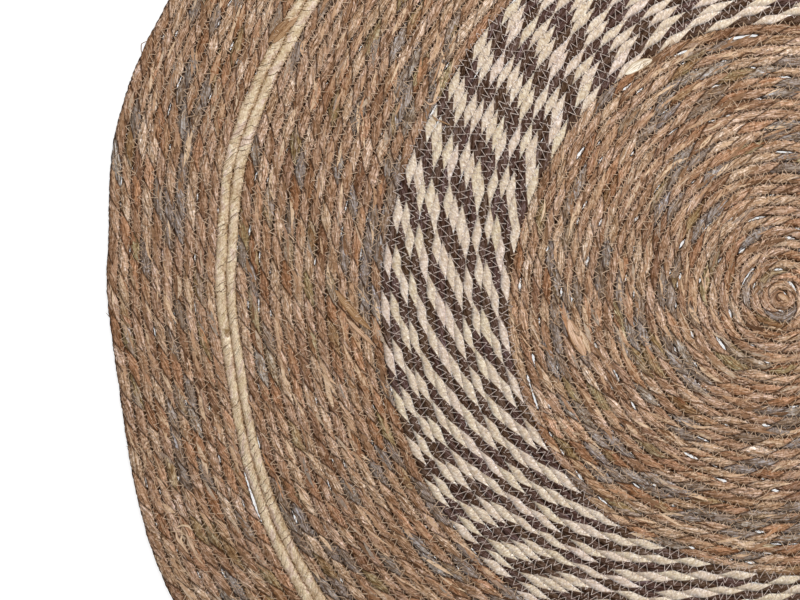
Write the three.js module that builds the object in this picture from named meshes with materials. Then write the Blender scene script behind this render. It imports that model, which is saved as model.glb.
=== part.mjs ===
// A round rug of natural fibre rope. One rope is laid flat in a spiral from the middle outwards,
// and each turn is sewn to the turn inside it. The colour changes where one rope is butted to the
// next: seagrass, a cream and dark brown ring, seagrass, two cream cords, and a seagrass rim.
// Each stretch of rope is one solid, flat underneath and ridged on top, with one ridge per turn.
// Millimetres. +Z is up, and the middle of the underside is the origin.
import * as THREE from "three";

// Sizes of the rope.
const SEAM_HEIGHT = 4.6; // the top of the seam between two turns
const EDGE_HEIGHT = 3.6; // where the last turn is widest, at the rug's edge
const GAP = 0.3; // between two stretches of rope
const STEPS = 48; // straight steps in one turn
const TAIL_STEPS = 4; // the steps over which the last turn thins to its end
const TAIL_WIDTH = 0.3; // the width of the rope at its very end, as a share of one turn
const KNOB_RADIUS = 5; // the knob at the very middle, where the first seam starts to sink in

// The stretches of rope from the middle outwards. outer is the radius where a stretch ends, on
// the side of the rug at 180 degrees.
const STRETCHES = [
  { name: "seagrass_centre", turns: 26, outer: 243, height: 7.0, finish: "seagrass" },
  { name: "two_tone_ring", turns: 14, outer: 354, height: 6.6, finish: "twoTone" },
  { name: "seagrass_middle", turns: 13, outer: 483, height: 7.0, finish: "seagrass" },
  { name: "cream_cords", turns: 2, outer: 501.8, height: 6.6, finish: "cream" },
  { name: "seagrass_rim", turns: 10, outer: 600, height: 7.0, finish: "seagrass" },
];

// How far the turns run outside a true circle, by the angle from +X: where the ring starts and
// ends, at the cream cords, and at the rug's edge.
const UNEVEN_RADII = { ringStart: 243, ringEnd: 354, cords: 492, edge: 600 };
const UNEVEN = [
  { angle: 10, ringStart: 1.0, ringEnd: 1.5, cords: 1.0, edge: 0.0 },
  { angle: 35, ringStart: 2.0, ringEnd: 3.0, cords: 4.0, edge: 4.5 },
  { angle: 62, ringStart: 1.0, ringEnd: 0.5, cords: -1.5, edge: -3.5 },
  { angle: 85, ringStart: 2.5, ringEnd: 1.0, cords: 1.0, edge: 1.0 },
  { angle: 110, ringStart: 3.0, ringEnd: 2.0, cords: 3.5, edge: 4.0 },
  { angle: 131, ringStart: -1.3, ringEnd: 1.5, cords: 3.5, edge: 2.0 },
  { angle: 150, ringStart: -4.5, ringEnd: -3.0, cords: 4.5, edge: 3.5 },
  { angle: 165, ringStart: -4.2, ringEnd: -1.5, cords: 6.5, edge: 8.6 },
  { angle: 177, ringStart: -2.0, ringEnd: 0.8, cords: 0.5, edge: -2.0 },
  { angle: 188, ringStart: 1.0, ringEnd: 1.0, cords: -4.5, edge: -8.6 },
  { angle: 206, ringStart: 2.0, ringEnd: 0.5, cords: -1.0, edge: 1.0 },
  { angle: 230, ringStart: 4.0, ringEnd: -4.0, cords: 1.0, edge: 4.0 },
  { angle: 252, ringStart: -1.0, ringEnd: 0.5, cords: -1.0, edge: -2.0 },
  { angle: 275, ringStart: 1.5, ringEnd: 1.5, cords: 2.0, edge: 3.0 },
  { angle: 300, ringStart: 0.0, ringEnd: 2.5, cords: 4.0, edge: 6.0 },
  { angle: 328, ringStart: -1.5, ringEnd: -1.5, cords: -2.5, edge: -4.0 },
  { angle: 352, ringStart: -0.5, ringEnd: 1.0, cords: 1.5, edge: 3.0 },
];

const FULL_TURN = 2 * Math.PI;
const ALL_TURNS = STRETCHES.reduce((sum, stretch) => sum + stretch.turns, 0);

const finishes = {
  seagrass: () => new THREE.MeshStandardMaterial({ color: 0x8c6e53, roughness: 0.85, metalness: 0 }),
  twoTone: () => new THREE.MeshStandardMaterial({ color: 0x8a7a68, roughness: 0.85, metalness: 0 }),
  cream: () => new THREE.MeshStandardMaterial({ color: 0xd3bd94, roughness: 0.8, metalness: 0 }),
};

// The radius of an even spiral after so many turns from the middle.
function spiralRadius(turns) {
  let inner = 0;
  let done = 0;
  for (const stretch of STRETCHES) {
    const pitch = (stretch.outer - inner) / stretch.turns;
    if (turns <= done + stretch.turns || done + stretch.turns === ALL_TURNS) {
      return inner + Math.max(turns - done, 0) * pitch;
    }
    inner = stretch.outer;
    done += stretch.turns;
  }
  return inner;
}

// A smooth step from 0 to 1.
function ease(share) {
  return (1 - Math.cos(Math.PI * share)) / 2;
}

// The unevenness of one column of the table at an angle from +X, with round steps between rows.
function unevenColumn(column, degrees) {
  const after = UNEVEN.findIndex((row) => row.angle > degrees);
  const next = UNEVEN[after < 0 ? 0 : after];
  const last = UNEVEN[after <= 0 ? UNEVEN.length - 1 : after - 1];
  const span = (next.angle - last.angle + 360) % 360;
  const share = ((degrees - last.angle + 360) % 360) / span;
  return last[column] + (next[column] - last[column]) * ease(share);
}

// The unevenness at any place: it grows from nothing in the middle, from column to column.
function uneven(radius, degrees) {
  let before = { radius: 0, offset: 0 };
  for (const [column, at] of Object.entries(UNEVEN_RADII)) {
    const here = { radius: at, offset: unevenColumn(column, degrees) };
    if (radius <= at || column === "edge") {
      const share = (radius - before.radius) / (here.radius - before.radius);
      return before.offset + (here.offset - before.offset) * share;
    }
    before = here;
  }
  return before.offset;
}

// How much of the last turn's width is gone at a step, towards the end of the rope.
function tailLoss(step) {
  const share = Math.max(0, step - (STEPS - TAIL_STEPS)) / TAIL_STEPS;
  return (1 - TAIL_WIDTH) * share;
}

// One stretch of the spiral as a closed mesh. Its top is a grid: line 0 is the seam inside its
// first turn, odd lines are the crests of the turns and even lines the seams between them. After
// one full turn, line n runs on as line n + 2.
function coiledStretch(stretch, firstTurn, isLast) {
  const lines = stretch.turns * 2;
  const firstLine = firstTurn === 0 ? -1 : 0;
  const positions = [];
  const faces = [];
  const known = new Map();

  // A point of the top, in the plane, and its height.
  function place(line, step) {
    const crest = line % 2 !== 0;
    let turns = firstTurn + line / 2 - 0.5 + step / STEPS;
    if (isLast && line >= lines - 1) {
      turns -= tailLoss(step) * (line === lines ? 1 : 0.5);
    }
    const even = spiralRadius(Math.max(0, turns));
    if (even === 0) {
      return { x: 0, y: 0, z: stretch.height };
    }
    let angle = (step / STEPS) * FULL_TURN;
    let radius = even + uneven(even, ((step % STEPS) / STEPS) * 360);
    if (line === lines && !isLast) {
      radius -= GAP / 2;
    }
    if (firstTurn > 0 && (line === 0 || (line === 2 && step === 0))) {
      radius += GAP / 2;
    }
    if (firstTurn > 0 && step === 0 && line < 2) {
      angle += GAP / radius;
    }
    if (step === STEPS) {
      angle -= GAP / radius;
    }
    const seam = isLast && line === lines ? EDGE_HEIGHT : SEAM_HEIGHT;
    const depth = (stretch.height - seam) * Math.min(1, even / KNOB_RADIUS);
    const height = crest ? stretch.height : stretch.height - depth;
    return { x: radius * Math.cos(angle), y: radius * Math.sin(angle), z: height };
  }

  // The number of a vertex, made when it is first asked for. The lines join up after one turn.
  function vertex(line, step, under = false) {
    if (step === STEPS && line + 2 <= lines) {
      return vertex(line + 2, 0, under);
    }
    const point = place(line, step);
    const middle = point.x === 0 && point.y === 0;
    const key = middle ? "middle" : [line, step, under].join();
    if (!known.has(key)) {
      known.set(key, positions.length / 3);
      positions.push(point.x, point.y, under ? 0 : point.z);
    }
    return known.get(key);
  }

  // A flat face through any number of vertices, fanned from the first one.
  function addFace(...corners) {
    for (let i = 1; i < corners.length - 1; i += 1) {
      const [a, b, c] = [corners[0], corners[i], corners[i + 1]];
      if (a !== b && b !== c && c !== a) {
        faces.push(a, b, c);
      }
    }
  }

  for (let step = 0; step < STEPS; step += 1) {
    for (let line = firstLine; line < lines; line += 1) {
      addFace(
        vertex(line, step),
        vertex(line + 1, step),
        vertex(line + 1, step + 1),
        vertex(line, step + 1),
      );
    }
    addFace(
      vertex(lines, step, true),
      vertex(lines, step + 1, true),
      vertex(lines, step + 1),
      vertex(lines, step),
    );
    if (firstTurn > 0) {
      addFace(
        vertex(0, step + 1, true),
        vertex(0, step, true),
        vertex(0, step),
        vertex(0, step + 1),
      );
    }
  }

  // The cut end of the rope, and its cut start where it has one.
  addFace(
    vertex(lines, STEPS, true),
    vertex(lines, 0, true),
    vertex(lines, 0),
    vertex(lines - 1, STEPS),
    vertex(lines, STEPS),
  );
  if (firstTurn > 0) {
    addFace(vertex(0, 0, true), vertex(2, 0, true), vertex(2, 0), vertex(1, 0), vertex(0, 0));
  }

  // The flat underside, inside the outer edge and outside the inner one.
  const outer = [];
  const inner = [];
  for (let step = 0; step <= STEPS; step += 1) {
    outer.push(vertex(lines, step, true));
    if (firstTurn > 0) {
      inner.push(vertex(0, step, true));
    }
  }
  const flat = (list) =>
    list.map((i) => new THREE.Vector2(positions[3 * i], positions[3 * i + 1]));
  const all = [...outer, ...inner];
  const holes = inner.length ? [flat(inner)] : [];
  for (const [a, b, c] of THREE.ShapeUtils.triangulateShape(flat(outer), holes)) {
    const turn = flat([all[a], all[b], all[c]]);
    const clockwise = THREE.ShapeUtils.isClockWise(turn);
    addFace(...(clockwise ? [all[a], all[b], all[c]] : [all[a], all[c], all[b]]));
  }

  const geometry = new THREE.BufferGeometry();
  geometry.setAttribute("position", new THREE.Float32BufferAttribute(positions, 3));
  geometry.setIndex(faces);
  geometry.computeVertexNormals();
  return geometry;
}

const rug = new THREE.Group();
let firstTurn = 0;
for (const stretch of STRETCHES) {
  const isLast = firstTurn + stretch.turns === ALL_TURNS;
  const mesh = new THREE.Mesh(coiledStretch(stretch, firstTurn, isLast), finishes[stretch.finish]());
  mesh.name = stretch.name;
  rug.add(mesh);
  firstTurn += stretch.turns;
}

export default rug;
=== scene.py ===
# %% [markdown]
# # A round rug of coiled rope, step by step
#
# The rug is one long rope of twisted leaves. It is laid flat in a spiral, and a zigzag of thin
# thread sews each turn to the turn inside it. Part of the rope has a cream and a dark brown ply,
# and two of its turns are a pale, wrinkled cord.
#
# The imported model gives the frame: where each stretch of rope lies, and how large it is. Here the
# stretches get their real twist, colour and sewing, and ride on the model's one body.

# %% Load the frame
import math

import bpy
import numpy as np
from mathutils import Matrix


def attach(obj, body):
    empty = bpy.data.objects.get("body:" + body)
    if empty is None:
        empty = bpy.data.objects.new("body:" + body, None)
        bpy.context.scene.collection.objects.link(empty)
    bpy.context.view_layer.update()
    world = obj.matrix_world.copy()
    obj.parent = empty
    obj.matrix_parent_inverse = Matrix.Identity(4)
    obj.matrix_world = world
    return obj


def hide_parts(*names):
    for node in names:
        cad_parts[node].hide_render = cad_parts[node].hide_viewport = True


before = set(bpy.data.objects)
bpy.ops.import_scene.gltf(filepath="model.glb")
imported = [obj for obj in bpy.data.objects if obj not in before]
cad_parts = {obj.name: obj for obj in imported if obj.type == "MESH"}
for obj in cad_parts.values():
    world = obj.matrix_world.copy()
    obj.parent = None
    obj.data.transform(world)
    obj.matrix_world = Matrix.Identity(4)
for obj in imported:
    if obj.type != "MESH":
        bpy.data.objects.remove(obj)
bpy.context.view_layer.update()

# %% [markdown]
# ## The camera
#
# The picture is taken from straight above, over the left part of the rug. A camera that looks
# down needs no rotation in Blender, because an unturned camera looks along -Z with +Y up. A fairly
# long lens keeps the rows even up to the corners of the frame, and the camera's height follows from
# the width of the view.

# %% Place the camera
VIEW_WIDTH = 0.7112
VIEW_MIDDLE = (-0.3378, -0.0018)
LENS_MM = 85
SENSOR_MM = 36

camera = bpy.data.objects.new("camera", bpy.data.cameras.new("camera"))
bpy.context.collection.objects.link(camera)
camera.data.lens = LENS_MM
camera.data.sensor_width = SENSOR_MM
camera.location = (*VIEW_MIDDLE, VIEW_WIDTH * LENS_MM / SENSOR_MM)
camera.data.clip_start = 0.05
camera.data.clip_end = 50
bpy.context.scene.camera = camera
print("camera height, in m:", round(camera.location.z, 3))

# %% [markdown]
# ## Floor and light
#
# A pale floor that glows, as a light table does, keeps the ground near white and lets it show as
# small bright slits between the turns. One large soft lamp stands to the upper right, and an even
# pale sky fills the shadows. Light from straight above would be simpler, but it shows hardly any
# relief.

# %% Make the floor and the lights
FLOOR_CORNERS = ((-1, -1), (1, -1), (1, 1), (-1, 1))
FLOOR_HALF = 20.0
# the floor lies a little below the rug, so that the two never share a plane
FLOOR_DROP = 0.0004
FLOOR_GREY = 0.35
FLOOR_GLOW = 0.82
LAMP_SIZE = 1.6
LAMP_WATTS = 37
LAMP_PLACE = (0.45, 1.0, 1.5)
LAMP_TILT = (math.radians(-30.5), math.radians(27.8), 0)
SKY_LIGHT = 0.38
WHITE = (1, 1, 1, 1)


def new_material(name, roughness):
    """A material with its shader and node tree, ready for a finish."""
    material = bpy.data.materials.new(name)
    material.use_nodes = True
    shader = material.node_tree.nodes["Principled BSDF"]
    shader.inputs["Roughness"].default_value = roughness
    return material, material.node_tree, shader


floor_mesh = bpy.data.meshes.new("floor")
corners = [(x * FLOOR_HALF, y * FLOOR_HALF, -FLOOR_DROP) for x, y in FLOOR_CORNERS]
floor_mesh.from_pydata(corners, [], [(0, 1, 2, 3)])
floor = bpy.data.objects.new("floor", floor_mesh)
bpy.context.collection.objects.link(floor)
floor_finish, _, floor_shader = new_material("pale floor", 0.9)
floor_shader.inputs["Base Color"].default_value = (FLOOR_GREY, FLOOR_GREY, FLOOR_GREY, 1)
floor_shader.inputs["Emission Color"].default_value = WHITE
floor_shader.inputs["Emission Strength"].default_value = FLOOR_GLOW
floor_mesh.materials.append(floor_finish)

lamp_data = bpy.data.lights.new("soft box", "AREA")
lamp_data.shape = "RECTANGLE"
lamp_data.size = LAMP_SIZE
lamp_data.size_y = LAMP_SIZE
lamp_data.energy = LAMP_WATTS
lamp = bpy.data.objects.new("soft box", lamp_data)
lamp.location = LAMP_PLACE
lamp.rotation_euler = LAMP_TILT
bpy.context.collection.objects.link(lamp)

world = bpy.data.worlds.new("studio")
world.use_nodes = True
sky = world.node_tree.nodes["Background"]
sky.inputs["Color"].default_value = WHITE
sky.inputs["Strength"].default_value = SKY_LIGHT
bpy.context.scene.world = world
bpy.context.scene.view_settings.view_transform = "Standard"
print("floor and", lamp.name, "made")

# %% [markdown]
# ## The plan of the coil
#
# The rope's place is worked out and not drawn. Counting turns from the middle, the radius of the
# spiral after so many turns follows from a short table of stretches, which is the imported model's
# own. A second table says how far the coil runs outside a true circle, because a sewn coil is
# never quite round. It follows the photo at the rug's left side, and elsewhere it is made up in the
# same measure. A curve drawn by hand could do it too, but NumPy works out all places at once, and
# any of them can be asked for later.

# %% Say where every turn lies
MM = 0.001
# each stretch: the turns after which it starts and ends, its outer radius and its height
STRETCHES = {
    "seagrass_centre": dict(first=0, last=26, outer=243 * MM, height=7.0 * MM),
    "two_tone_ring": dict(first=26, last=40, outer=354 * MM, height=6.6 * MM),
    "seagrass_middle": dict(first=40, last=53, outer=483 * MM, height=7.0 * MM),
    "cream_cords": dict(first=53, last=55, outer=501.8 * MM, height=6.6 * MM),
    "seagrass_rim": dict(first=55, last=65, outer=600 * MM, height=7.0 * MM),
}
LAST_TURN = 65
UNEVEN_RADII = np.array([0, 243, 354, 492, 600]) * MM
# angle in degrees from +X, then mm outside a circle where the ring starts and ends, at the cords
# and at the edge
UNEVEN = np.array([
    (10, 1.0, 1.5, 1.0, 0.0),
    (35, 2.0, 3.0, 4.0, 4.5),
    (62, 1.0, 0.5, -1.5, -3.5),
    (85, 2.5, 1.0, 1.0, 1.0),
    (110, 3.0, 2.0, 3.5, 4.0),
    (131, -1.3, 1.5, 3.5, 2.0),
    (150, -4.5, -3.0, 4.5, 3.5),
    (165, -4.2, -1.5, 6.5, 8.6),
    (177, -2.0, 0.8, 0.5, -2.0),
    (188, 1.0, 1.0, -4.5, -8.6),
    (206, 2.0, 0.5, -1.0, 1.0),
    (230, 4.0, -4.0, 1.0, 4.0),
    (252, -1.0, 0.5, -1.0, -2.0),
    (275, 1.5, 1.5, 2.0, 3.0),
    (300, 0.0, 2.5, 4.0, 6.0),
    (328, -1.5, -1.5, -2.5, -4.0),
    (352, -0.5, 1.0, 1.5, 3.0),
])

turn_marks = [0] + [row["last"] for row in STRETCHES.values()]
radius_marks = [0] + [row["outer"] for row in STRETCHES.values()]
rim_pitch = (radius_marks[-1] - radius_marks[-2]) / (turn_marks[-1] - turn_marks[-2])
turn_marks.append(LAST_TURN + 1)
radius_marks.append(radius_marks[-1] + rim_pitch)


def spiral_radius(turns):
    """The radius of an even spiral after so many turns."""
    return np.interp(turns, turn_marks, radius_marks)


def unevenness(radius, degrees):
    """How far a place lies outside a true circle, in metres."""
    angles = UNEVEN[:, 0]
    after = np.searchsorted(angles, degrees, side="right") % len(angles)
    before = (after - 1) % len(angles)
    span = (angles[after] - angles[before]) % 360
    share = ((degrees - angles[before]) % 360) / span
    share = (1 - np.cos(np.pi * share)) / 2
    columns = [np.zeros_like(degrees)]
    for column in range(1, UNEVEN.shape[1]):
        low, high = UNEVEN[before, column], UNEVEN[after, column]
        columns.append(MM * (low + (high - low) * share))
    columns = np.array(columns)
    outer = np.clip(np.searchsorted(UNEVEN_RADII, radius), 1, len(UNEVEN_RADII) - 1)
    reach = (radius - UNEVEN_RADII[outer - 1]) / (UNEVEN_RADII[outer] - UNEVEN_RADII[outer - 1])
    pick = np.arange(len(radius))
    return columns[outer - 1, pick] * (1 - reach) + columns[outer, pick] * reach


def radius_at(turns, degrees):
    """The real radius of the coil after so many turns, at an angle."""
    even = spiral_radius(np.maximum(turns, 0))
    return even + unevenness(even, degrees)


TURN_STEP = 0.005
turn_steps = np.arange(0, LAST_TURN + 1, TURN_STEP)
radius_steps = spiral_radius((turn_steps[1:] + turn_steps[:-1]) / 2)
rope_steps = np.concatenate([[0], np.cumsum(2 * np.pi * radius_steps * np.diff(turn_steps))])


def rope_length(turns):
    """The length of rope from the middle, in metres."""
    return np.interp(turns, turn_steps, rope_steps)


ROPE_LENGTH = float(rope_length(LAST_TURN))
print("rope in the whole rug, in m:", round(ROPE_LENGTH, 1))

# %% [markdown]
# ## Uneven by hand
#
# Every seam wanders a little, opens here and there, and the turns stand a little higher or lower.
# A ripple does this: random numbers at even steps along the rope, with a smooth curve between
# them. Both turns beside a seam read the same ripple, so they still meet. The places of single
# points could be shaken instead, but then neighbours would part.

# %% Make ripples for the seams
def ripple(seed, spacing):
    """A smooth random wave along the rope, with a hump in about each spacing, from -1 to 1."""
    knots = np.random.default_rng(seed).uniform(-1, 1, int(ROPE_LENGTH / spacing) + 8)

    def wave(metres):
        place = np.clip(metres / spacing, 0, len(knots) - 2)
        knot = place.astype(int)
        share = place - knot
        share = share * share * (3 - 2 * share)
        return knots[knot] * (1 - share) + knots[knot + 1] * share

    return wave


seam_drift = ripple(seed=11, spacing=0.07)
seam_shake = ripple(seed=12, spacing=0.018)
seam_open = ripple(seed=13, spacing=0.009)
DRIFT = 0.5 * MM
SHAKE = 0.3 * MM
# how high the ripple has to be for a seam to open, at some turns: the seams of the centre open most
# often, those of the two-tone ring hardly at all, and the one between the two cords never
SHUT_TURNS = [25.6, 25.7, 39.5, 39.6, 53.49, 53.5, 54.49, 54.5]
SHUT = [0.61, 0.86, 0.86, 0.71, 0.71, 1.0, 1.0, 0.71]
OPENING = 8.5 * MM
# one long slit beside the cream cords: the turn whose seam opens, its angle, length and width
LONG_SLIT = dict(seam=55, degrees=200.6, length=51 * MM, width=2.1 * MM)


def seam_radius(turns, degrees):
    """The radius of a seam, with its wander."""
    metres = rope_length(turns)
    wander = DRIFT * seam_drift(metres) + SHAKE * seam_shake(metres)
    return radius_at(turns, degrees) + wander


def seam_gap(turns):
    """How far a seam stands open, in metres."""
    metres = rope_length(turns)
    shut = np.interp(turns, SHUT_TURNS, SHUT)
    gap = OPENING * np.clip(seam_open(metres) - shut, 0, 1)
    slit_at = rope_length(LONG_SLIT["seam"] - 0.5 + LONG_SLIT["degrees"] / 360)
    away = np.abs(metres - slit_at) / (LONG_SLIT["length"] / 2)
    return gap + LONG_SLIT["width"] * np.clip(1 - away**6, 0, 1)


gaps = seam_gap(np.linspace(0, LAST_TURN, 90000))
print("widest seam gap, in mm:", round(1000 * float(gaps.max()), 1))

# %% [markdown]
# ## How tightly the rope is twisted
#
# The lay is the length in which a ply goes once round the rope, about 45 mm here. It is never
# quite even, so it gets a ripple. On the two-tone ring the twist is what makes the pattern of
# cream and brown patches, so there the lay was measured on the photo, turn by turn: how long it
# is, and where a cream patch lies on the left side. Between two measured stretches the rope takes
# up what is left of a twist. The patches could be painted on, but made this way they fit the plies.

# %% Say how the rope is twisted
FULL_TURN = 2 * np.pi
# for each turn of the two-tone ring: its lay in mm, and how far past the left side (180 degrees) a
# cream patch has its middle, as a share of the lay
RING_LAYS = [
    (46.2, 0.72), (41.1, 0.04), (41.9, 0.62), (41.7, 0.42), (44.5, 0.72), (44.3, 0.84), (44.0, 0.46),
    (41.9, 0.20), (42.1, 0.88), (46.6, 0.32), (42.8, 0.82), (42.0, 0.78), (40.9, 0.26), (42.6, 0.24),
]
# the start, middle and end of the measured stretch of each turn, in degrees
MEASURED_ANGLES = (115, 180, 245)
RING_LAY = 43 * MM
# how far the twist runs ahead or behind, as shares of a turn of twist
SLOW_SWING = 0.085
QUICK_SWING = 0.05
RING_SWING = 0.04


def even_twist(metres, lay, seed):
    """The turns of twist up to each place, with a ripple in it."""
    slow = SLOW_SWING * ripple(seed, spacing=0.16)(metres)
    quick = QUICK_SWING * ripple(seed + 1, spacing=0.05)(metres)
    return metres / lay + slow + quick


def ring_twist(metres):
    """The turns of twist on the two-tone ring, through the measured patches."""
    first = STRETCHES["two_tone_ring"]["first"]
    swing = RING_SWING * ripple(seed=210, spacing=0.06)(metres)
    places, twists = [rope_length(first)], [0.0]
    for turn, (lay, share) in enumerate(RING_LAYS):
        left = rope_length(first + turn + 0.5)
        for angle in MEASURED_ANGLES:
            place = rope_length(first + turn + angle / 360)
            twist = (place - left) / (lay * MM) - share
            if angle == MEASURED_ANGLES[0]:
                free = twists[-1] + (place - places[-1]) / RING_LAY
                whole = np.round(free - twist)
            places.append(place)
            twists.append(twist + whole)
    places.append(rope_length(first + len(RING_LAYS)))
    twists.append(twists[-1] + (places[-1] - places[-2]) / RING_LAY)
    return np.interp(metres, places, twists) + swing


ring = STRETCHES["two_tone_ring"]
ring_ends = rope_length(np.array([ring["first"], ring["last"]]))
print("twists in the ring:", round(float(np.ptp(ring_twist(ring_ends)))))

# %% [markdown]
# ## A twisted rope as a mesh
#
# Two plies twist round each other, so the rope's section has a crease on two opposite sides, and
# the creases run round the rope as a screw. The mesh lines follow that screw: each ring of points
# is turned by the twist at its place, and the first and the middle line lie in the creases. So a
# coarse mesh still has a sharp crease, and the strip of faces between two lines belongs to one
# ply all along the rope. A curve with a bevel couldn't do this.
#
# Each time a ply comes up on top it shows as one leaf-shaped patch. The patches are numbered by
# that visit, so every one can have its own size and colour.

# %% Set out the rope and its section
SIDES = 10
# where the mesh lines lie round one ply, as shares of half a turn: closer beside the creases
PLY_LINES = np.array([0, 0.152, 0.371, 0.629, 0.848])
section = np.concatenate([PLY_LINES, PLY_LINES + 1]) * np.pi
PLY_OF_SIDE = (np.arange(SIDES) >= SIDES // 2).astype(int)
TIGHT_TURNS = 2


def rope_places(first, last, step):
    """Even steps along a stretch of the rope, and the two seams beside it."""
    start, end = rope_length(first), rope_length(last)
    metres = np.linspace(start, end, int((end - start) / step) + 2)
    if first == 0:
        # The first turns are so tight that they need closer steps.
        tight = rope_length(TIGHT_TURNS)
        metres = np.concatenate([np.arange(0, tight, step / 3), metres[metres > tight]])
    turns = np.interp(metres, rope_steps, turn_steps)
    degrees = 360 * (turns % 1)
    inner = seam_radius(turns - 0.5, degrees) + seam_gap(turns - 0.5) / 2
    outer = seam_radius(turns + 0.5, degrees) - seam_gap(turns + 0.5) / 2
    return metres, turns, degrees, inner, outer


def rope_section(make, metres, phase):
    """The twist at every step, where each mesh line stands round the rope, and how far out it is."""
    # One ply is now fatter and now thinner than the other, so one crease moves to and fro.
    fatter = make["uneven"] * ripple(make["seed"] + 5, spacing=0.035)(metres)
    phase = phase + make["uneven"] * ripple(make["seed"] + 6, spacing=0.012)(metres)
    lines = section[None, :] + fatter[:, None] * np.cos(section)[None, :]
    turned = lines + phase[:, None]
    visit = np.floor(turned / np.pi).astype(int)
    visit -= visit.min()

    # A flattened round, drawn in at the creases, with a bulge for each visit of a ply.
    squareness = make["squareness"]
    rounded = np.abs(np.cos(turned)) ** squareness + np.abs(np.sin(turned)) ** squareness
    crease = make["top"] * np.sin(turned) ** 2 + make["side"] * np.cos(turned) ** 2
    crown = np.abs(np.sin(section))[None, :] ** 0.5
    bulges = np.random.default_rng(make["seed"] + 2).uniform(-1, 1, (2, visit.max() + 2))
    bulge = 1 + make["bulge"] * bulges[PLY_OF_SIDE, visit] * np.abs(np.sin(turned)) * crown
    rough = 1 + make["rough"] * np.random.default_rng(make["seed"] + 7).uniform(-1, 1, turned.shape)
    size = rounded ** (-1 / squareness) * (1 - (1 - crease) * (1 - crown)) * bulge * rough
    return phase, turned, size


print("mesh lines round the rope, in degrees:", np.degrees(section).round().astype(int))

# %% [markdown]
# ## From arrays to a mesh
#
# The rope has too many points to add them one at a time, so NumPy's arrays go into the mesh whole,
# with foreach_set. A finish also needs to know where it is on the rope. Values with a name say how
# far a point is from a crease and how far it is twisted, and a UV map gives the place along and
# round the rope. A second map lays the rope out in strips, for a picture of its colours.

# %% Write helpers for large meshes
ROPE_STEP = 3.7 * MM
STRIP_MARGIN = 0.02


def new_mesh_object(name, points, corners):
    """An object with a smooth mesh of quads, from its points and the four corners of each face."""
    points = points.reshape(-1, 3)
    faces = np.stack(corners, axis=-1).reshape(-1, 4)
    starts = np.arange(0, faces.size, 4, dtype=np.int32)
    mesh = bpy.data.meshes.new(name)
    mesh.vertices.add(len(points))
    mesh.vertices.foreach_set("co", np.ascontiguousarray(points, np.float32).ravel())
    mesh.loops.add(faces.size)
    mesh.loops.foreach_set("vertex_index", np.ascontiguousarray(faces, np.int32).ravel())
    mesh.polygons.add(len(faces))
    mesh.polygons.foreach_set("loop_start", starts)
    mesh.polygons.foreach_set("use_smooth", np.ones(len(faces), bool))
    mesh.update(calc_edges=True)
    thing = bpy.data.objects.new(name, mesh)
    bpy.context.collection.objects.link(thing)
    return thing


def dress(thing, finish):
    """Give a piece its finish, and let it ride on the rug's one body."""
    thing.data.materials.append(finish)
    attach(thing, "root")


def add_values(mesh, name, domain, values):
    """A number for every point or face of a mesh, which a material can read by name."""
    attribute = mesh.attributes.new(name, "FLOAT", domain)
    attribute.data.foreach_set("value", np.ascontiguousarray(values, np.float32).ravel())


def add_map(mesh, name, u, v):
    """A UV map, from arrays with one number for every corner of every face."""
    places = np.stack([u, v], axis=-1).astype(np.float32)
    mesh.uv_layers.new(name=name).data.foreach_set("uv", places.ravel())


def map_rope(mesh, metres, strips):
    """The two maps of a rope: in metres along it and as a share of its girth, and in strips."""
    rings = len(metres) - 1
    along = np.stack([metres[:-1], metres[:-1], metres[1:], metres[1:]], axis=-1)
    share = section / FULL_TURN
    next_share = np.append(share[1:], 1.0)
    around = np.stack([share, next_share, next_share, share], axis=-1)
    around = np.repeat(around[None, :, :], rings, axis=0)
    add_map(mesh, "lay", np.repeat(along[:, None, :], SIDES, axis=1), around)
    # The rope cut up into strips of one width and laid side by side.
    rings_in_strip = -(-rings // strips)
    strip, place = np.divmod(np.arange(rings), rings_in_strip)
    across_sheet = np.stack([place, place, place + 1, place + 1], axis=-1) / rings_in_strip
    up_sheet = (strip[:, None, None] + STRIP_MARGIN + (1 - 2 * STRIP_MARGIN) * around) / strips
    add_map(mesh, "OFBake", np.repeat(across_sheet[:, None, :], SIDES, axis=1), up_sheet)


print("faces in a metre of rope:", round(SIDES / ROPE_STEP))

# %% [markdown]
# ## One stretch of the coil
#
# A stretch of rope fills the room between its two seams, so the turns touch however the seams
# wander. At the middle of the rug the rope starts folded in on itself, and at the rug's edge it
# thins to a tail. A curve modifier could bend a straight rope instead, but it would squeeze and
# stretch the rope in the tight turns.

# %% Build one stretch of rope
# how much of the first turn is folded in, and how close to the middle it comes
FOLDED_TURNS = 0.92
FOLDED_INNER = 0.4 * MM
# over how much of a turn the tail thins, and how much thinner and lower it gets
TAIL_TURNS = 1 / 12
TAIL_THINNER = 0.7
TAIL_LOWER = 0.45
# how much the rope's width and height vary
WIDTH_VARIES = 0.03
HEIGHT_VARIES = 0.05
tops = []


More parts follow.
